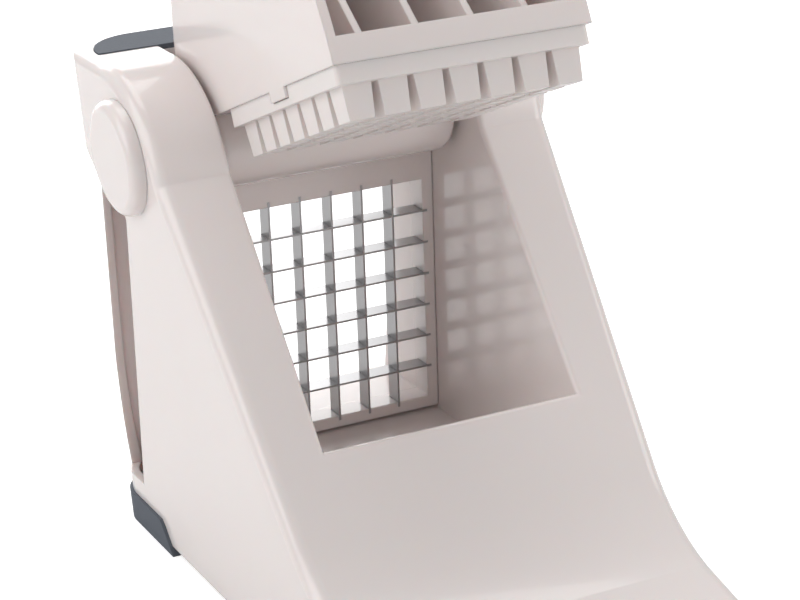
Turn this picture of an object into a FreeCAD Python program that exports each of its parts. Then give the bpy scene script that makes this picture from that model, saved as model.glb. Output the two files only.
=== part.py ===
import FreeCAD
import Part
import math
import os

# Lever press chipper: a leaning tower with a windowed chamber, a square blade
# grid at the back of the chamber and a hinged lever that swings a pegged
# pusher into the grid. Millimetres, +X right, +Y to the rear, +Z up.
# Z = 0 is the plane under the rubber feet, X = Y = 0 the middle of the base.

# Blade grid
grid_y = 60.0
grid_z = 65.0
cell_pitch = 10.0
cells_per_side = 7
strip_thickness = 0.6
strip_depth = 6.0
strip_embed = 1.5
strip_slot_clearance = 0.05
blade_frame_depth = 8.0
blade_frame_bottom = 26.4
blade_frame_top = 111.5

# Widths across the lever, the chamber and the blade frame, from the grid
grid_half_width = cells_per_side * cell_pitch / 2.0
lever_rim = 2.0
lever_half_width = grid_half_width + lever_rim
lever_side_gap = 1.7
chamber_half_width = lever_half_width + lever_side_gap
frame_side_gap = 0.2
blade_frame_half_width = chamber_half_width - frame_side_gap

# Hinge
pivot_y = 53.0
pivot_z = 125.0
pin_radius = 4.0
pin_half_length = 59.5
running_clearance = 0.06
bush_radius = 6.0
bush_recess = 0.2
bush_length = 5.1
bush_inner_x = chamber_half_width + bush_recess
bush_outer_x = bush_inner_x + bush_length
bush_clearance = 0.05
clip_radius = 6.8
clip_thickness = 1.0
clip_x = 56.4
lever_open_angle = 112.5

# Tower outline in the side view
base_z = 2.5
nose_y = -97.0
nose_top_z = 11.5
slope_top_y = 29.0
slope_top_z = 123.0
slope_bottom_y = -38.2
slope_bottom_z = 43.0
flare_upper_mid_y = -51.0
flare_upper_mid_z = 31.3
flare_middle_y = -68.0
flare_middle_z = 23.4
flare_lower_mid_y = -79.5
flare_lower_mid_z = 20.7
flare_end_y = -90.0
flare_end_z = 18.0
nose_round_mid_y = -95.2
nose_round_mid_z = 15.8
shoulder_y = 42.5
shoulder_z = 141.5
top_start_y = 68.0
top_z = 148.5
head_rear_y = 96.0
head_edge_drop = 4.0
head_under_z = 125.0
rear_waist_y = 79.5
rear_waist_z = 110.0
rear_base_y = 96.0

# Tower width: the sides lean outwards towards the top
half_width_at_grid = 57.0
side_lean = 0.06
plan_corner_radius = 13.0
wall = 2.6
ridge_radius = 4.0
side_extent = 80.0
beyond = 300.0

# Chamber
chamber_wall = 2.4
floor_drop = 5.0
floor_radius = pivot_z - grid_z + grid_half_width + floor_drop
head_slot_y = 76.0
window_edge_radius = 1.5
floor_end_y = 68.0

# Side slots
slot_front_top_y = 58.4
slot_front_top_z = 105.0
slot_peak_y = 64.0
slot_peak_z = 109.5
slot_rear_top_y = 76.2
slot_bottom_z = 15.5
slot_front_bottom_y = 74.4
slot_rear_bottom_y = 90.6
slot_inner_x = 48.0

# Exit duct behind the blades
duct_side_gap = 0.3
duct_half_width = chamber_half_width - duct_side_gap
duct_wall = 2.2
duct_hole_clearance = 0.3

# Top pad
pad_front_y = 76.0
pad_rear_y = 93.0
pad_half_width = 57.6
pad_recess = 1.2
pad_proud = 0.3
pad_corner_radius = 16.0
pad_clearance = 0.1

# Pivot caps on the outside of the arms
cap_radius = 16.5
cap_proud = 4.5
cap_edge_radius = 3.0

# Feet
foot_proud = 1.0
foot_top_z = 9.2
foot_pad_width = 11.0
foot_heel_width = 14.0
foot_front_y = 60.5
foot_front_lean = 7.5
foot_front_chamfer = 2.0
front_pad_length = 34.0
front_pad_width = 11.0
front_pad_y = -88.0
front_pad_x = 31.0

# Base plate and its screws
plate_thickness = 2.4
plate_gap = 0.2
boss_radius = 4.2
boss_height = 16.0
boss_x = 45.6
boss_rows = [-62.0, 8.0]
screw_radius = 1.5
screw_head_radius = 3.0
screw_head_height = 1.6
screw_length = 12.0

# Lever, described in its closed position
lever_wall = 2.6
lever_floor_gap = 1.7
lever_end_radius = floor_radius - lever_floor_gap
hub_radius = 13.5
lever_end_angle = 52.0
skin_radius = 100.2
handle_root_y = -34.0
handle_root_z = 88.0
handle_dip_y = -51.5
handle_dip_z = 64.8
handle_tip_top_y = -74.0
handle_tip_top_z = 46.5
handle_tip_nose_y = -75.5
handle_tip_nose_z = 39.5
handle_tip_low_y = -70.0
handle_tip_low_z = 36.0
handle_under_dip_y = -45.0
handle_under_dip_z = 46.8
rib_thickness = 2.0
rib_columns = [-24.0, -8.0, 8.0, 24.0]
rib_foot = [(40.0, 20.0), (40.0, 36.0), (-2.0, 62.0), (-36.0, 58.0), (-80.0, 44.0), (-80.0, 20.0)]
mouth_rear_land = 7.1
mouth_top = [(-10.0, 75.0), (-45.0, 60.0)]
lever_edge_radius = 3.0
grip_depth = 1.6
grip_proud = 0.5
grip_side_margin = 9.0
grip_corner_radius = 7.0
grip_start = 0.12
grip_end = 0.88

# Pusher
pusher_side_inset = 0.8
pusher_half_width = lever_half_width - pusher_side_inset
pusher_bottom_z = 28.0
pusher_top_z = 102.6
pusher_thickness = 5.0
peg_plane_y = 52.0
peg_length = 9.0
peg_root = 8.2
peg_tip = 7.0
pusher_corner_radius = 1.5
tab_width = 10.4
tab_length = 6.0
tab_thickness = 2.0
tab_gap = 0.15


def point(x, y, z):
    return FreeCAD.Vector(x, y, z)


def side_point(pair):
    return FreeCAD.Vector(0, pair[0], pair[1])


def box_between(x0, x1, y0, y1, z0, z1):
    return Part.makeBox(x1 - x0, y1 - y0, z1 - z0, point(x0, y0, z0))


def polygon_face(pairs):
    points = [side_point(pair) for pair in pairs]
    points.append(points[0])
    return Part.Face(Part.makePolygon(points))


def across(face, x0, x1):
    slab = face.copy()
    slab.translate(point(x0, 0, 0))
    return slab.extrude(point(x1 - x0, 0, 0))


def x_cylinder(radius, x0, x1, y=pivot_y, z=pivot_z):
    return Part.makeCylinder(radius, x1 - x0, point(x0, y, z), point(1, 0, 0))


def single(shape):
    solids = shape.removeSplitter().Solids
    return max(solids, key=lambda solid: solid.Volume)


def mirrored(shape):
    return shape.mirror(point(0, 0, 0), point(1, 0, 0))


def opened(shape):
    turned = shape.copy()
    turned.rotate(point(0, pivot_y, pivot_z), point(1, 0, 0), -lever_open_angle)
    return turned


def tower_outline():
    def line(a, b):
        return Part.LineSegment(side_point(a), side_point(b)).toShape()

    def bow(a, b, c):
        return Part.Arc(side_point(a), side_point(b), side_point(c)).toShape()

    slope_bottom = (slope_bottom_y, slope_bottom_z)
    slope_top = (slope_top_y, slope_top_z)
    top_start = (top_start_y, top_z)
    nose_top = (nose_y, nose_top_z)
    nose_mid = (nose_round_mid_y, nose_round_mid_z)
    flare_end = (flare_end_y, flare_end_z)
    flare_lower_mid = (flare_lower_mid_y, flare_lower_mid_z)
    flare_middle = (flare_middle_y, flare_middle_z)
    flare_upper_mid = (flare_upper_mid_y, flare_upper_mid_z)
    head_edge = (head_rear_y - head_edge_drop, top_z)
    head_round = (head_rear_y - 0.3 * head_edge_drop, top_z - 0.3 * head_edge_drop)
    edges = [
        line((rear_base_y, base_z), (nose_y, base_z)),
        line((nose_y, base_z), nose_top),
        bow(nose_top, nose_mid, flare_end),
        bow(flare_end, flare_lower_mid, flare_middle),
        bow(flare_middle, flare_upper_mid, slope_bottom),
        line(slope_bottom, slope_top),
        bow(slope_top, (shoulder_y, shoulder_z), top_start),
        line(top_start, head_edge),
        bow(head_edge, head_round, (head_rear_y, top_z - head_edge_drop)),
        line((head_rear_y, top_z - head_edge_drop), (head_rear_y, head_under_z)),
        line((head_rear_y, head_under_z), (rear_waist_y, rear_waist_z)),
        line((rear_waist_y, rear_waist_z), (rear_base_y, base_z)),
    ]
    return Part.Face(Part.Wire(edges))


def half_width(z, inset=0.0):
    return half_width_at_grid + side_lean * (z - grid_z) - inset


def width_wedge(inset, low, high):
    corners = [
        point(-half_width(low, inset), -beyond, low),
        point(half_width(low, inset), -beyond, low),
        point(half_width(high, inset), -beyond, high),
        point(-half_width(high, inset), -beyond, high),
    ]
    face = Part.Face(Part.makePolygon(corners + [corners[0]]))
    return face.extrude(point(0, 2.0 * beyond, 0))


def rounded_ring(z, inset):
    half = half_width(z, inset)
    front = nose_y + inset
    back = head_rear_y - inset
    radius = plan_corner_radius - inset
    bow = radius * (1.0 - math.sqrt(0.5))

    def line(a, b):
        return Part.LineSegment(point(a[0], a[1], z), point(b[0], b[1], z)).toShape()

    def corner(a, b, c):
        return Part.Arc(point(a[0], a[1], z), point(b[0], b[1], z), point(c[0], c[1], z)).toShape()

    edges = [
        line((-half + radius, front), (half - radius, front)),
        corner((half - radius, front), (half - bow, front + bow), (half, front + radius)),
        line((half, front + radius), (half, back - radius)),
        corner((half, back - radius), (half - bow, back - bow), (half - radius, back)),
        line((half - radius, back), (-half + radius, back)),
        corner((-half + radius, back), (-half + bow, back - bow), (-half, back - radius)),
        line((-half, back - radius), (-half, front + radius)),
        corner((-half, front + radius), (-half + bow, front + bow), (-half + radius, front)),
    ]
    return Part.Wire(edges)


def rounded_column(inset, low, high):
    return Part.makeLoft([rounded_ring(low, inset), rounded_ring(high, inset)], True, True)


def tower_solid(inset=0.0):
    face = tower_outline()
    if inset > 0:
        face = face.makeOffset2D(-inset)
        if face.ShapeType == "Wire":
            face = Part.Face(face)
    body = across(face, -side_extent, side_extent)
    return body.common(rounded_column(inset, base_z - 10.0, top_z + 20.0)).removeSplitter()


def chamber_disc(radius, half, rear):
    disc = x_cylinder(radius, -half, half)
    return disc.common(box_between(-side_extent, side_extent, -beyond, rear, -beyond, beyond))


def slot_cutter():
    corners = [
        (slot_front_top_y, slot_front_top_z),
        (slot_peak_y, slot_peak_z),
        (slot_rear_top_y, slot_peak_z),
        (slot_rear_bottom_y, slot_bottom_z),
        (slot_front_bottom_y, slot_bottom_z),
    ]
    return across(polygon_face(corners), slot_inner_x, side_extent)


def pad_block(margin, low, high):
    half = pad_half_width + margin
    block = box_between(-half, half, pad_front_y - margin, pad_rear_y + margin, low, high)
    corners = []
    for edge in block.Edges:
        upright = abs(edge.tangentAt(edge.FirstParameter).z) > 0.9
        if upright and edge.CenterOfMass.y > pad_front_y + 1.0:
            corners.append(edge)
    return block.makeFillet(pad_corner_radius, corners)


def screw_places():
    places = []
    for y in boss_rows:
        places.append((-boss_x, y))
        places.append((boss_x, y))
    return places


def rounded_tower():
    body = across(tower_outline(), -side_extent, side_extent)
    body = body.common(width_wedge(0.0, base_z - 10.0, top_z + 20.0))
    ridge = []
    for edge in body.Edges:
        middle = edge.CenterOfMass
        on_side = abs(abs(middle.x) - half_width(middle.z)) < 0.5
        runs_along = edge.BoundBox.XLength < 8.0
        if on_side and runs_along and middle.z > base_z + 3.0 and middle.y > nose_y + 0.5:
            ridge.append(edge)
    body = body.makeFillet(ridge_radius, ridge)
    return body.common(rounded_column(0.0, base_z - 10.0, top_z + 20.0))


def chamber_lining():
    half = chamber_half_width + chamber_wall
    lining = chamber_disc(floor_radius + chamber_wall, half, head_slot_y + chamber_wall)
    behind_blades = box_between(-side_extent, side_extent, floor_end_y, beyond, -50, blade_frame_top - 6.0)
    return lining.cut(behind_blades).common(tower_solid())


def base_opening():
    low = base_z - 5.0
    column = rounded_column(wall, low, base_z + wall + 0.5)
    rear = rear_base_y - wall - 0.6
    return column.common(box_between(-side_extent, side_extent, -beyond, rear, low, grid_z))


def slope_y(z):
    rise = (slope_top_y - slope_bottom_y) / (slope_top_z - slope_bottom_z)
    return slope_bottom_y + (z - slope_bottom_z) * rise


def round_window(skin):
    rim = []
    for edge in skin.Edges:
        middle = edge.CenterOfMass
        box = edge.BoundBox
        inside = abs(middle.x) < chamber_half_width + 0.1
        on_slope = abs(middle.y - slope_y(middle.z)) < 1.5 and middle.z < slope_top_z
        on_shoulder = box.XLength < 0.1 and middle.y < head_slot_y - 5.0 and middle.z > slope_top_z + 5.0
        if inside and (on_slope or on_shoulder):
            rim.append(edge)
    return skin.makeFillet(window_edge_radius, rim)


def body_shell():
    skin = rounded_tower().cut(tower_solid(wall)).cut(base_opening())
    skin = skin.fuse(chamber_lining())
    for x, y in screw_places():
        boss = Part.makeCylinder(boss_radius, boss_height, point(x, y, base_z + plate_thickness))
        skin = skin.fuse(boss)
    skin = skin.cut(chamber_disc(floor_radius, chamber_half_width, head_slot_y))
    skin = round_window(skin)
    skin = skin.cut(exit_opening())
    skin = skin.cut(slot_cutter())
    skin = skin.cut(mirrored(slot_cutter()))
    skin = skin.cut(pad_block(pad_clearance, top_z - pad_recess, top_z + 5.0))
    skin = skin.cut(x_cylinder(bush_radius + bush_clearance, -bush_outer_x, bush_outer_x))
    skin = skin.cut(x_cylinder(pin_radius + running_clearance, -side_extent, side_extent))
    for x, y in screw_places():
        skin = skin.cut(Part.makeCylinder(screw_radius, screw_length, point(x, y, base_z)))
    return single(skin)


def exit_opening():
    half = duct_half_width + duct_hole_clearance
    return box_between(-half, half, floor_end_y + 2.0, beyond, grid_z - half, grid_z + half)


def strip_offsets():
    count = cells_per_side - 1
    first = -(count - 1) * cell_pitch / 2.0
    return [first + index * cell_pitch for index in range(count)]


def strip_reach():
    return grid_half_width + strip_embed


def vertical_strip(offset, grow=0.0):
    half = strip_thickness / 2.0 + grow
    reach = strip_reach() + grow
    back = grid_y + strip_depth + grow
    return box_between(offset - half, offset + half, grid_y, back, grid_z - reach, grid_z + reach)


def horizontal_strip(offset, grow=0.0):
    half = strip_thickness / 2.0 + grow
    reach = strip_reach() + grow
    back = grid_y + strip_depth + grow
    middle = grid_z + offset
    return box_between(-reach, reach, grid_y, back, middle - half, middle + half)


def vertical_blades():
    strips = []
    lap = grid_y + strip_depth / 2.0
    half = strip_thickness / 2.0 + strip_slot_clearance
    for x in strip_offsets():
        strip = vertical_strip(x)
        for z in strip_offsets():
            notch = box_between(x - 2, x + 2, lap, lap + strip_depth, grid_z + z - half, grid_z + z + half)
            strip = strip.cut(notch)
        strips.append(strip)
    return Part.makeCompound(strips)


def horizontal_blades():
    strips = []
    lap = grid_y + strip_depth / 2.0
    half = strip_thickness / 2.0 + strip_slot_clearance
    for z in strip_offsets():
        strip = horizontal_strip(z)
        for x in strip_offsets():
            notch = box_between(x - half, x + half, lap - strip_depth, lap, grid_z + z - 2, grid_z + z + 2)
            strip = strip.cut(notch)
        strips.append(strip)
    return Part.makeCompound(strips)


def blade_frame():
    half = blade_frame_half_width
    back = grid_y + blade_frame_depth
    frame = box_between(-half, half, grid_y, back, blade_frame_bottom, blade_frame_top)
    clear = grid_half_width
    window = box_between(-clear, clear, grid_y - 1, back + 1, grid_z - clear, grid_z + clear)
    frame = frame.cut(window)
    for offset in strip_offsets():
        frame = frame.cut(vertical_strip(offset, strip_slot_clearance))
        frame = frame.cut(horizontal_strip(offset, strip_slot_clearance))
    return single(frame)


def exit_duct():
    half = duct_half_width
    inner = half - duct_wall
    start = grid_y + blade_frame_depth
    tube = box_between(-half, half, start, beyond, grid_z - half, grid_z + half)
    bore = box_between(-inner, inner, start - 1, beyond + 1, grid_z - inner, grid_z + inner)
    tube = tube.cut(bore)
    return single(tube.common(tower_solid()))


def top_pad():
    return single(pad_block(0.0, top_z - pad_recess, top_z + pad_proud))


def pivot_cap():
    disc = x_cylinder(cap_radius, chamber_half_width, side_extent)
    disc = disc.common(width_wedge(-cap_proud, base_z, top_z + 20.0))
    rim = max(disc.Edges, key=lambda edge: edge.CenterOfMass.x)
    disc = disc.makeFillet(cap_edge_radius, [rim])
    return single(disc.cut(width_wedge(0.0, base_z - 10.0, top_z + 30.0)))


def hinge_pin():
    return x_cylinder(pin_radius, -pin_half_length, pin_half_length)


def hinge_bush():
    ring = x_cylinder(bush_radius, bush_inner_x, bush_outer_x)
    return ring.cut(x_cylinder(pin_radius + running_clearance / 2.0, bush_inner_x - 1, bush_outer_x + 1))


def pin_clips():
    clips = []
    for side in (-1.0, 1.0):
        x0 = side * clip_x - clip_thickness / 2.0
        ring = x_cylinder(clip_radius, x0, x0 + clip_thickness)
        clips.append(ring.cut(x_cylinder(pin_radius, x0 - 1, x0 + clip_thickness + 1)))
    return Part.makeCompound(clips)


def rear_foot():
    reach = half_width(foot_top_z) + 5.0
    block = box_between(0, reach, 0, rear_base_y + foot_proud, 0, foot_top_z)
    block = block.common(width_wedge(-foot_proud, -10.0, 40.0))
    corner = []
    for edge in block.Edges:
        middle = edge.CenterOfMass
        if edge.BoundBox.ZLength > foot_top_z - 1 and middle.y > 50 and middle.x > 20:
            corner.append(edge)
    block = block.makeFillet(plan_corner_radius + foot_proud, corner)
    front_cut = polygon_face([
        (-10.0, -1.0),
        (foot_front_y - foot_front_lean, -1.0),
        (foot_front_y - 1.0, foot_top_z - foot_front_chamfer),
        (foot_front_y + foot_front_chamfer, foot_top_z + 1.0),
        (-10.0, foot_top_z + 1.0),
    ])
    block = block.cut(across(front_cut, -1, side_extent)).cut(tower_solid())
    inner_x = half_width(base_z) - foot_pad_width
    inner = box_between(-1, inner_x, -10, rear_base_y - foot_pad_width, -1, foot_top_z + 1)
    side_stop = box_between(-1, inner_x - foot_heel_width, -10, beyond, -1, foot_top_z + 1)
    return single(block.cut(inner).cut(side_stop))


def front_foot():
    x0 = front_pad_x - front_pad_length / 2.0
    y0 = front_pad_y - front_pad_width / 2.0
    pad = box_between(x0, x0 + front_pad_length, y0, y0 + front_pad_width, 0, base_z)
    upright = [edge for edge in pad.Edges if abs(edge.tangentAt(edge.FirstParameter).z) > 0.9]
    return pad.makeFillet(front_pad_width / 2.0 - 0.2, upright)


def base_plate():
    inset = wall + plate_gap
    top = base_z + plate_thickness
    plate = rounded_column(inset, base_z, top)
    rear_limit = rear_base_y - inset - 0.6
    plate = plate.common(box_between(-side_extent, side_extent, nose_y + inset, rear_limit, base_z, top))
    for x, y in screw_places():
        plate = plate.cut(Part.makeCylinder(screw_radius + 0.15, 10, point(x, y, base_z - 1)))
        sink = Part.makeCylinder(screw_head_radius + 0.15, screw_head_height, point(x, y, base_z))
        plate = plate.cut(sink)
    return single(plate)


def base_screws():
    screws = []
    for x, y in screw_places():
        head = Part.makeCylinder(screw_head_radius, screw_head_height, point(x, y, base_z))
        slot = box_between(x - 2.0, x + 2.0, y - 0.4, y + 0.4, base_z, base_z + 0.7)
        cross = box_between(x - 0.4, x + 0.4, y - 2.0, y + 2.0, base_z, base_z + 0.7)
        neck = point(x, y, base_z + screw_head_height)
        shank = Part.makeCylinder(screw_radius, screw_length - screw_head_height, neck)
        screws.append(single(head.fuse(shank).cut(slot).cut(cross)))
    return Part.makeCompound(screws)


def pusher_back_y():
    return peg_plane_y - pusher_thickness


def arc_point(radius, angle):
    turn = math.radians(angle)
    return (pivot_y - radius * math.sin(turn), pivot_z - radius * math.cos(turn))


def lever_outline():
    back = pusher_back_y()
    radius = lever_end_radius
    start_angle = math.degrees(math.asin((pivot_y - back) / radius))
    start = arc_point(radius, start_angle)
    middle = arc_point(radius, (start_angle + lever_end_angle) / 2.0)
    end = arc_point(radius, lever_end_angle)
    tip_low = (handle_tip_low_y, handle_tip_low_z)
    tip_nose = (handle_tip_nose_y, handle_tip_nose_z)
    tip_top = (handle_tip_top_y, handle_tip_top_z)
    root = (handle_root_y, handle_root_z)
    hub_top = (pivot_y, pivot_z + hub_radius)
    hub_back = (pivot_y + hub_radius, pivot_z)
    hub_low = (back, pivot_z - math.sqrt(hub_radius ** 2 - (back - pivot_y) ** 2))
    skin_y = (pivot_y + handle_root_y) / 2.0
    skin_z = hub_top[1] - skin_radius + math.sqrt(skin_radius ** 2 - (skin_y - pivot_y) ** 2)

    def bow(a, b, c):
        return Part.Arc(side_point(a), side_point(b), side_point(c)).toShape()

    edges = [
        bow(start, middle, end),
        bow(end, (handle_under_dip_y, handle_under_dip_z), tip_low),
        bow(tip_low, tip_nose, tip_top),
        bow(tip_top, (handle_dip_y, handle_dip_z), root),
        bow(root, (skin_y, skin_z), hub_top),
        bow(hub_top, hub_back, hub_low),
        Part.LineSegment(side_point(hub_low), side_point(start)).toShape(),
    ]
    return Part.Face(Part.Wire(edges))


def lever_block():
    block = across(lever_outline(), -lever_half_width, lever_half_width)
    edges = []
    for edge in block.Edges:
        middle = edge.CenterOfMass
        on_side = abs(abs(middle.x) - lever_half_width) < 0.01
        on_skin = middle.y < 20.0 and middle.z > middle.y + 105.0
        if on_side and on_skin:
            edges.append(edge)
    return block.makeFillet(lever_edge_radius, edges)


def lever_cavity():
    face = lever_outline()
    inner = face.makeOffset2D(-lever_wall)
    if inner.ShapeType == "Wire":
        inner = Part.Face(inner)
    half = lever_half_width - lever_wall
    hollow = across(inner, -half, half)
    hollow = hollow.cut(x_cylinder(hub_radius, -half, half))
    return hollow


def lever_mouth():
    inner_y = pusher_back_y() - mouth_rear_land
    half = lever_half_width - lever_wall
    tip_y = handle_tip_low_y + lever_wall + 1.0
    low = [(tip_y, 43.0), (tip_y, 20.0)]
    mouth = [(inner_y, 20.0), (inner_y, 40.0)] + mouth_top + low
    region = across(polygon_face(mouth), -half, half)
    return region.common(across(lever_outline(), -half, half))


def lever_ribs():
    outline = lever_outline()
    opening = polygon_face(rib_foot)
    ribs = []
    for x in rib_columns:
        rib = across(outline, x - rib_thickness / 2.0, x + rib_thickness / 2.0)
        ribs.append(rib.cut(across(opening, x - rib_thickness, x + rib_thickness)))
    return ribs


def grip_band(depth, proud):
    tip_top = point(0, handle_tip_top_y, handle_tip_top_z)
    dip = point(0, handle_dip_y, handle_dip_z)
    root = point(0, handle_root_y, handle_root_z)
    handle = Part.Arc(tip_top, dip, root).toShape()
    middle = handle.Curve.Center
    first = handle.FirstParameter
    span = handle.LastParameter - first

    def spot(share, offset):
        place = handle.valueAt(first + span * share)
        outward = (middle - place).normalize()
        return place + outward * offset

    half_way = (grip_start + grip_end) / 2.0
    edges = [
        Part.Arc(spot(grip_start, proud), spot(half_way, proud), spot(grip_end, proud)).toShape(),
        Part.LineSegment(spot(grip_end, proud), spot(grip_end, -depth)).toShape(),
        Part.Arc(spot(grip_end, -depth), spot(half_way, -depth), spot(grip_start, -depth)).toShape(),
        Part.LineSegment(spot(grip_start, -depth), spot(grip_start, proud)).toShape(),
    ]
    half = lever_half_width - grip_side_margin
    band = across(Part.Face(Part.Wire(edges)), -half, half)
    corners = []
    for edge in band.Edges:
        crosses = edge.BoundBox.XLength < 0.01 and edge.Length < depth + proud + 0.01
        if crosses:
            corners.append(edge)
    return band.makeFillet(grip_corner_radius, corners)


def lever_grip():
    return single(grip_band(grip_depth, grip_proud))


def tab_boxes(grow):
    boxes = []
    back = pusher_back_y()
    middle_z = (pusher_bottom_z + pusher_top_z) / 2.0
    for side in (-1.0, 1.0):
        x_out = side * lever_half_width
        x_in = side * (lever_half_width - tab_thickness - grow)
        boxes.append(box_between(
            min(x_out, x_in),
            max(x_out, x_in),
            back - 0.5,
            back + tab_length / 2.0 + grow,
            middle_z - tab_width / 2.0 - grow,
            middle_z + tab_width / 2.0 + grow,
        ))
    return boxes


def lever_shell():
    block = lever_block()
    shell = block.cut(lever_cavity()).cut(lever_mouth())
    for rib in lever_ribs():
        shell = shell.fuse(rib.common(block))
    shell = shell.cut(grip_band(grip_depth, 6.0))
    for tab in tab_boxes(0.0):
        shell = shell.fuse(tab)
    shell = shell.cut(x_cylinder(pin_radius + running_clearance, -side_extent, side_extent))
    return single(shell)


def pusher():
    back = pusher_back_y()
    half = pusher_half_width
    plate = box_between(-half, half, back, peg_plane_y, pusher_bottom_z, pusher_top_z)
    corners = [edge for edge in plate.Edges if edge.BoundBox.YLength > pusher_thickness - 0.1]
    plate = plate.makeFillet(pusher_corner_radius, corners)
    pieces = []
    half_count = (cells_per_side - 1) / 2.0
    for column in range(cells_per_side):
        for row in range(cells_per_side):
            x = (column - half_count) * cell_pitch
            z = grid_z + (row - half_count) * cell_pitch
            root = square_wire(x, z, peg_root / 2.0, peg_plane_y - 0.5)
            tip = square_wire(x, z, peg_tip / 2.0, peg_plane_y + peg_length)
            pieces.append(Part.makeLoft([root, tip], True))
    plate = plate.multiFuse(pieces)
    for tab in tab_boxes(tab_gap):
        plate = plate.cut(tab)
    return single(plate)


def square_wire(x, z, half, y):
    corners = [
        point(x - half, y, z - half),
        point(x + half, y, z - half),
        point(x + half, y, z + half),
        point(x - half, y, z + half),
    ]
    return Part.makePolygon(corners + [corners[0]])


def all_parts():
    cap = pivot_cap()
    bush = hinge_bush()
    rear = rear_foot()
    front = front_foot()
    return {
        "body_shell": body_shell(),
        "blade_frame": blade_frame(),
        "vertical_blades": vertical_blades(),
        "horizontal_blades": horizontal_blades(),
        "exit_duct": exit_duct(),
        "base_plate": base_plate(),
        "base_screws": base_screws(),
        "top_pad": top_pad(),
        "pivot_cap_right": cap,
        "pivot_cap_left": mirrored(cap),
        "hinge_pin": hinge_pin(),
        "hinge_bush_right": bush,
        "hinge_bush_left": mirrored(bush),
        "pin_clips": pin_clips(),
        "foot_rear_right": rear,
        "foot_rear_left": mirrored(rear),
        "foot_front_right": front,
        "foot_front_left": mirrored(front),
        "lever_shell": opened(lever_shell()),
        "lever_grip": opened(lever_grip()),
        "pusher": opened(pusher()),
    }


os.makedirs("parts", exist_ok=True)
for name, shape in all_parts().items():
    shape.exportStep("parts/" + name + ".step")
    print(name, len(shape.Solids), shape.isValid())
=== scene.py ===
"""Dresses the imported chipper: a white moulded tower, a polished blade grid and a pegged lever."""

import logging
import math
from dataclasses import dataclass, field
from enum import Enum

import bmesh
import bpy
from mathutils import Matrix, Vector


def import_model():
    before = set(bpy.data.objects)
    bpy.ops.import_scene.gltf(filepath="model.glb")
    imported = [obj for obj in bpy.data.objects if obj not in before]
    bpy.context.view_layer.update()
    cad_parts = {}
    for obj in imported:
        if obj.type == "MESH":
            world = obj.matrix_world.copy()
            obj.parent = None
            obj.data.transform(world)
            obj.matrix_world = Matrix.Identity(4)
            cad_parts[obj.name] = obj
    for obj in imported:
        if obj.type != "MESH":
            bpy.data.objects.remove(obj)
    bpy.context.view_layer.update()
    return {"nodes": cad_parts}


LOG = logging.getLogger("chipper")
METRES_PER_MM = 0.001


class Surface(Enum):
    """How a finish catches light."""

    MOULDED = "moulded"
    METAL = "metal"
    RUBBER = "rubber"


@dataclass(frozen=True)
class Finish:
    """One surface finish, with its colour and gloss.

    Lengths are metres. The warmth lets light through the plastic, red deepest.
    """

    name: str
    surface: Surface
    colour: tuple[float, float, float]
    roughness: float
    coat: float = 0.0
    coat_roughness: float = 0.06
    warmth: float = 0.0
    warmth_reach: tuple[float, float, float] = (1.0, 0.45, 0.3)
    warmth_depth: float = 0.003
    rubber_specular: float = 0.3
    grain: float = 0.0
    grain_scale: float = 400.0
    grain_detail: float = 3.0
    grain_height: float = 0.0003
    rounding: float = 0.0
    rounding_samples: int = 4

    def build(self) -> bpy.types.Material:
        """Make the material.

        Returns:
            The new material.
        """
        material = bpy.data.materials.new(self.name)
        material.use_nodes = True
        shader = material.node_tree.nodes["Principled BSDF"]
        shader.inputs["Base Color"].default_value = (*self.colour, 1.0)
        shader.inputs["Roughness"].default_value = self.roughness
        shader.inputs["Metallic"].default_value = 1.0 if self.surface is Surface.METAL else 0.0
        if self.surface is Surface.RUBBER:
            shader.inputs["Specular IOR Level"].default_value = self.rubber_specular
        shader.inputs["Coat Weight"].default_value = self.coat
        shader.inputs["Coat Roughness"].default_value = self.coat_roughness
        if self.warmth > 0.0:
            shader.inputs["Subsurface Weight"].default_value = self.warmth
            shader.inputs["Subsurface Radius"].default_value = self.warmth_reach
            shader.inputs["Subsurface Scale"].default_value = self.warmth_depth
        normal = self._rounded_edges(material)
        normal = self._grain(material, normal)
        if normal is not None:
            material.node_tree.links.new(normal, shader.inputs["Normal"])
        return material

    def _rounded_edges(self, material: bpy.types.Material) -> bpy.types.NodeSocket | None:
        """Soften the edges in the shading.

        Args:
            material: the material to add to.

        Returns:
            The rounded normal, or None where the finish has sharp edges.
        """
        if self.rounding <= 0.0:
            return None
        rounded = material.node_tree.nodes.new("ShaderNodeBevel")
        rounded.samples = self.rounding_samples
        rounded.inputs["Radius"].default_value = self.rounding
        return rounded.outputs["Normal"]

    def _grain(
        self,
        material: bpy.types.Material,
        normal: bpy.types.NodeSocket | None,
    ) -> bpy.types.NodeSocket | None:
        """Add a fine surface grain.

        Args:
            material: the material to add to.
            normal: the normal to disturb, or None for the plain one.

        Returns:
            The disturbed normal, or the given one where the finish has no grain.
        """
        if self.grain <= 0.0:
            return normal
        nodes = material.node_tree.nodes
        links = material.node_tree.links
        place = nodes.new("ShaderNodeTexCoord")
        noise = nodes.new("ShaderNodeTexNoise")
        noise.inputs["Scale"].default_value = self.grain_scale
        noise.inputs["Detail"].default_value = self.grain_detail
        bump = nodes.new("ShaderNodeBump")
        bump.inputs["Strength"].default_value = self.grain
        bump.inputs["Distance"].default_value = self.grain_height
        links.new(place.outputs["Object"], noise.inputs["Vector"])
        links.new(noise.outputs["Fac"], bump.inputs["Height"])
        if normal is not None:
            links.new(normal, bump.inputs["Normal"])
        return bump.outputs["Normal"]


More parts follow.
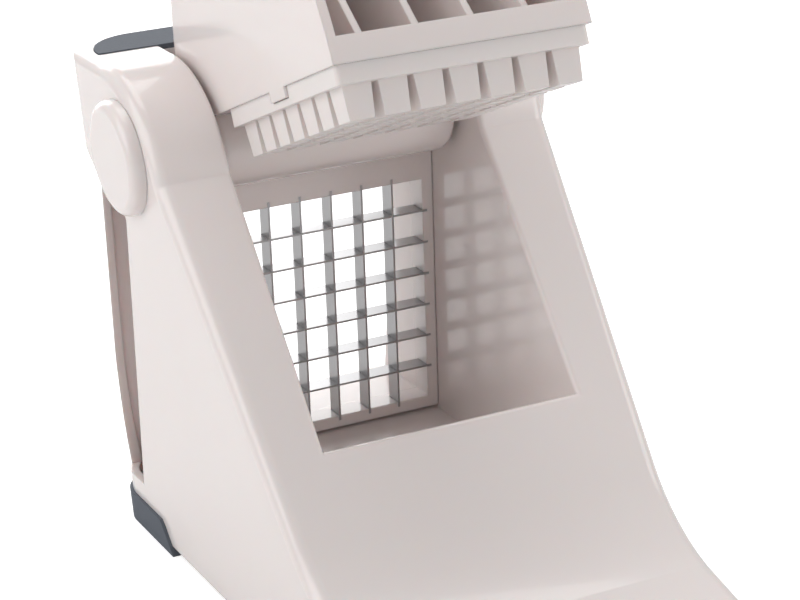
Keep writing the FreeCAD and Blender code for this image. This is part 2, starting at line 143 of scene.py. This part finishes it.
WHITE_SHELL = Finish(
    name="white_shell",
    surface=Surface.MOULDED,
    colour=(0.87, 0.795, 0.775),
    roughness=0.2,
    coat=0.5,
    warmth=0.22,
    rounding=0.0008,
)
WHITE_PUSHER = Finish(
    name="white_pusher",
    surface=Surface.MOULDED,
    colour=(0.87, 0.81, 0.79),
    roughness=0.34,
    coat=0.1,
    warmth=0.2,
    rounding=0.0003,
)
SLATE_RUBBER = Finish(
    name="slate_rubber",
    surface=Surface.RUBBER,
    colour=(0.11, 0.124, 0.148),
    roughness=0.68,
    grain=0.25,
    grain_scale=900.0,
    rounding=0.0004,
)
BLADE_STEEL = Finish(
    name="blade_steel",
    surface=Surface.METAL,
    colour=(0.42, 0.415, 0.42),
    roughness=0.28,
)
PIN_STEEL = Finish(
    name="pin_steel",
    surface=Surface.METAL,
    colour=(0.58, 0.57, 0.56),
    roughness=0.3,
    rounding=0.0003,
)
BUSH_PLASTIC = Finish(
    name="bush_plastic",
    surface=Surface.MOULDED,
    colour=(0.74, 0.71, 0.68),
    roughness=0.5,
)


@dataclass
class Workshop:
    """Holds the CAD nodes and the finishes already made."""

    nodes: dict[str, bpy.types.Object]
    made: dict[str, bpy.types.Material] = field(default_factory=dict)

    def material(self, finish: Finish) -> bpy.types.Material:
        """Return the material of a finish, made once."""
        if finish.name not in self.made:
            self.made[finish.name] = finish.build()
        return self.made[finish.name]

    def dress(self, names: tuple[str, ...], finish: Finish) -> None:
        """Give CAD nodes their finish.

        Args:
            names: the CAD nodes' names.
            finish: the finish that they get.
        """
        for name in names:
            piece = self.nodes[name]
            piece.data.materials.clear()
            piece.data.materials.append(self.material(finish))
            LOG.info("dressed %s with %s", name, finish.name)


@dataclass
class Tower:
    """The standing body: shell, exit duct, base, caps, hinge parts and feet."""

    shop: Workshop
    shells: tuple[str, ...] = ("body_shell", "exit_duct", "base_plate", "pivot_cap_left", "pivot_cap_right")
    steel: tuple[str, ...] = ("hinge_pin", "pin_clips", "base_screws")
    bushes: tuple[str, ...] = ("hinge_bush_left", "hinge_bush_right")
    rear_rubber: tuple[str, ...] = ("top_pad", "foot_rear_left", "foot_rear_right")
    front_rubber: tuple[str, ...] = ("foot_front_left", "foot_front_right")

    def build(self) -> None:
        """Dress every piece of the tower."""
        self.shop.dress(self.shells, WHITE_SHELL)
        self.shop.dress(self.steel, PIN_STEEL)
        self.shop.dress(self.bushes, BUSH_PLASTIC)
        self.shop.dress(self.rear_rubber + self.front_rubber, SLATE_RUBBER)


@dataclass
class BladeGrid:
    """The square grid of steel strips and its frame."""

    shop: Workshop
    frame: tuple[str, ...] = ("blade_frame",)
    strips: tuple[str, ...] = ("vertical_blades", "horizontal_blades")

    def build(self) -> None:
        """Dress the strips and their frame."""
        self.shop.dress(self.frame, WHITE_SHELL)
        self.shop.dress(self.strips, BLADE_STEEL)


@dataclass
class Lever:
    """The hollow lever with its pegged pusher and grip."""

    shop: Workshop

    def build(self) -> None:
        """Dress the lever's pieces."""
        self.shop.dress(("lever_shell",), WHITE_SHELL)
        self.shop.dress(("pusher",), WHITE_PUSHER)
        self.shop.dress(("lever_grip",), SLATE_RUBBER)


@dataclass(frozen=True)
class Lamp:
    """One square soft lamp, in metres and watts."""

    name: str
    place: tuple[float, float, float]
    aim: tuple[float, float, float]
    side: float
    power: float

    def hang(self) -> None:
        """Hang the lamp, turned to what it lights."""
        light = bpy.data.lights.new(self.name, "AREA")
        light.shape = "SQUARE"
        light.size = self.side
        light.energy = self.power
        lamp = bpy.data.objects.new(self.name, light)
        lamp.location = self.place
        toward = Vector(self.aim) - Vector(self.place)
        lamp.rotation_euler = toward.to_track_quat("-Z", "Y").to_euler()
        bpy.context.scene.collection.objects.link(lamp)


@dataclass
class Camera:
    """The camera at the photograph's angle, in degrees and millimetres."""

    azimuth: float = 26.38
    elevation: float = 20.68
    roll: float = -1.91
    distance: float = 766.4
    target: tuple[float, float, float] = (26.47, 60.0, 63.13)
    focal_pixels: float = 2540.8
    image_width: float = 800.0
    sensor_width: float = 36.0
    nearest: float = 10.0
    farthest: float = 50000.0

    def build(self) -> None:
        """Place the camera and make it the scene's own."""
        turn, tip, lean = (math.radians(angle) for angle in (self.azimuth, self.elevation, self.roll))
        ahead = Vector((math.sin(turn) * math.cos(tip), math.cos(turn) * math.cos(tip), -math.sin(tip)))
        right = Vector((math.cos(turn), -math.sin(turn), 0.0))
        up = right.cross(ahead)
        across = right * math.cos(lean) + up * math.sin(lean)
        upward = up * math.cos(lean) - right * math.sin(lean)
        lens = bpy.data.cameras.new("photo_camera")
        lens.sensor_width = self.sensor_width
        lens.lens = self.focal_pixels * self.sensor_width / self.image_width
        lens.clip_start = self.nearest * METRES_PER_MM
        lens.clip_end = self.farthest * METRES_PER_MM
        camera = bpy.data.objects.new("photo_camera", lens)
        place = (Vector(self.target) - ahead * self.distance) * METRES_PER_MM
        turned = Matrix((across, upward, -ahead)).transposed().to_4x4()
        camera.matrix_world = Matrix.Translation(place) @ turned
        bpy.context.scene.collection.objects.link(camera)
        bpy.context.scene.camera = camera


@dataclass
class Floor:
    """The pale floor, which keeps the shadow and is seen white around it."""

    side: float = 12.0
    colour: tuple[float, float, float] = (0.86, 0.86, 0.86)
    roughness: float = 0.9
    specular: float = 0.1
    seen_glow: float = 0.6

    def build(self) -> None:
        """Lay the floor and link it into the scene."""
        shape = bmesh.new()
        bmesh.ops.create_grid(shape, x_segments=1, y_segments=1, size=self.side / 2.0)
        mesh = bpy.data.meshes.new("studio_floor")
        shape.to_mesh(mesh)
        shape.free()
        floor = bpy.data.objects.new("studio_floor", mesh)
        bpy.context.scene.collection.objects.link(floor)
        mesh.materials.append(self._material())

    def _material(self) -> bpy.types.Material:
        """Make the floor's white paint, with a glow for the camera alone.

        Returns:
            The floor's material.
        """
        material = bpy.data.materials.new("studio_white")
        material.use_nodes = True
        nodes = material.node_tree.nodes
        links = material.node_tree.links
        shader = nodes["Principled BSDF"]
        shader.inputs["Base Color"].default_value = (*self.colour, 1.0)
        shader.inputs["Roughness"].default_value = self.roughness
        shader.inputs["Specular IOR Level"].default_value = self.specular
        glow = nodes.new("ShaderNodeEmission")
        glow.inputs["Strength"].default_value = self.seen_glow
        dark = nodes.new("ShaderNodeEmission")
        dark.inputs["Strength"].default_value = 0.0
        seen = nodes.new("ShaderNodeMixShader")
        total = nodes.new("ShaderNodeAddShader")
        links.new(seen_directly(material.node_tree), seen.inputs[0])
        links.new(dark.outputs[0], seen.inputs[1])
        links.new(glow.outputs[0], seen.inputs[2])
        links.new(shader.outputs[0], total.inputs[0])
        links.new(seen.outputs[0], total.inputs[1])
        links.new(total.outputs[0], nodes["Material Output"].inputs["Surface"])
        return material


@dataclass
class Sky:
    """The plain sky: white where it is seen, softer where it lights."""

    lighting: float = 0.38
    seen: float = 1.0

    def build(self) -> None:
        """Make the sky and hang it in the scene."""
        world = bpy.data.worlds.new("studio_sky")
        bpy.context.scene.world = world
        world.use_nodes = True
        nodes = world.node_tree.nodes
        links = world.node_tree.links
        background = nodes["Background"]
        background.inputs["Color"].default_value = (1.0, 1.0, 1.0, 1.0)
        level = nodes.new("ShaderNodeMapRange")
        level.inputs["To Min"].default_value = self.lighting
        level.inputs["To Max"].default_value = self.seen
        links.new(seen_directly(world.node_tree), level.inputs["Value"])
        links.new(level.outputs["Result"], background.inputs["Strength"])


@dataclass
class Studio:
    """Floor, lamps, sky and camera."""

    lamps: tuple[Lamp, ...] = (
        Lamp("left_softbox", place=(-1.15, 0.05, 0.75), aim=(0.0, 0.0, 0.10), side=1.1, power=7.4),
        Lamp("top_softbox", place=(0.15, 0.35, 1.35), aim=(0.0, 0.0, 0.08), side=1.0, power=6.2),
        Lamp("right_fill", place=(0.6, -0.38, 0.3), aim=(0.05, 0.0, 0.10), side=0.5, power=1.4),
        Lamp("back_glow", place=(0.1, 1.3, 0.45), aim=(0.0, 0.0, 0.08), side=1.0, power=7.5),
    )

    def build(self) -> None:
        """Make the whole studio."""
        Camera().build()
        Floor().build()
        for lamp in self.lamps:
            lamp.hang()
        Sky().build()
        LOG.info("studio ready with %d lamps", len(self.lamps))


def seen_directly(tree: bpy.types.NodeTree) -> bpy.types.NodeSocket:
    """Add a test for rays that come from the camera, straight or through a clear piece.

    Args:
        tree: the node tree to add to.

    Returns:
        The socket that gives 1 for such rays, else 0.
    """
    rays = tree.nodes.new("ShaderNodeLightPath")
    either = tree.nodes.new("ShaderNodeMath")
    either.operation = "MAXIMUM"
    tree.links.new(rays.outputs["Is Camera Ray"], either.inputs[0])
    tree.links.new(rays.outputs["Is Transmission Ray"], either.inputs[1])
    return either.outputs[0]


def main() -> None:
    """Build and dress the chipper in order."""
    logging.basicConfig(level=logging.INFO)
    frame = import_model()
    bpy.context.scene.view_settings.view_transform = "Standard"
    Studio().build()
    shop = Workshop(frame["nodes"])
    Tower(shop).build()
    BladeGrid(shop).build()
    Lever(shop).build()


if __name__ == "__main__":
    main()
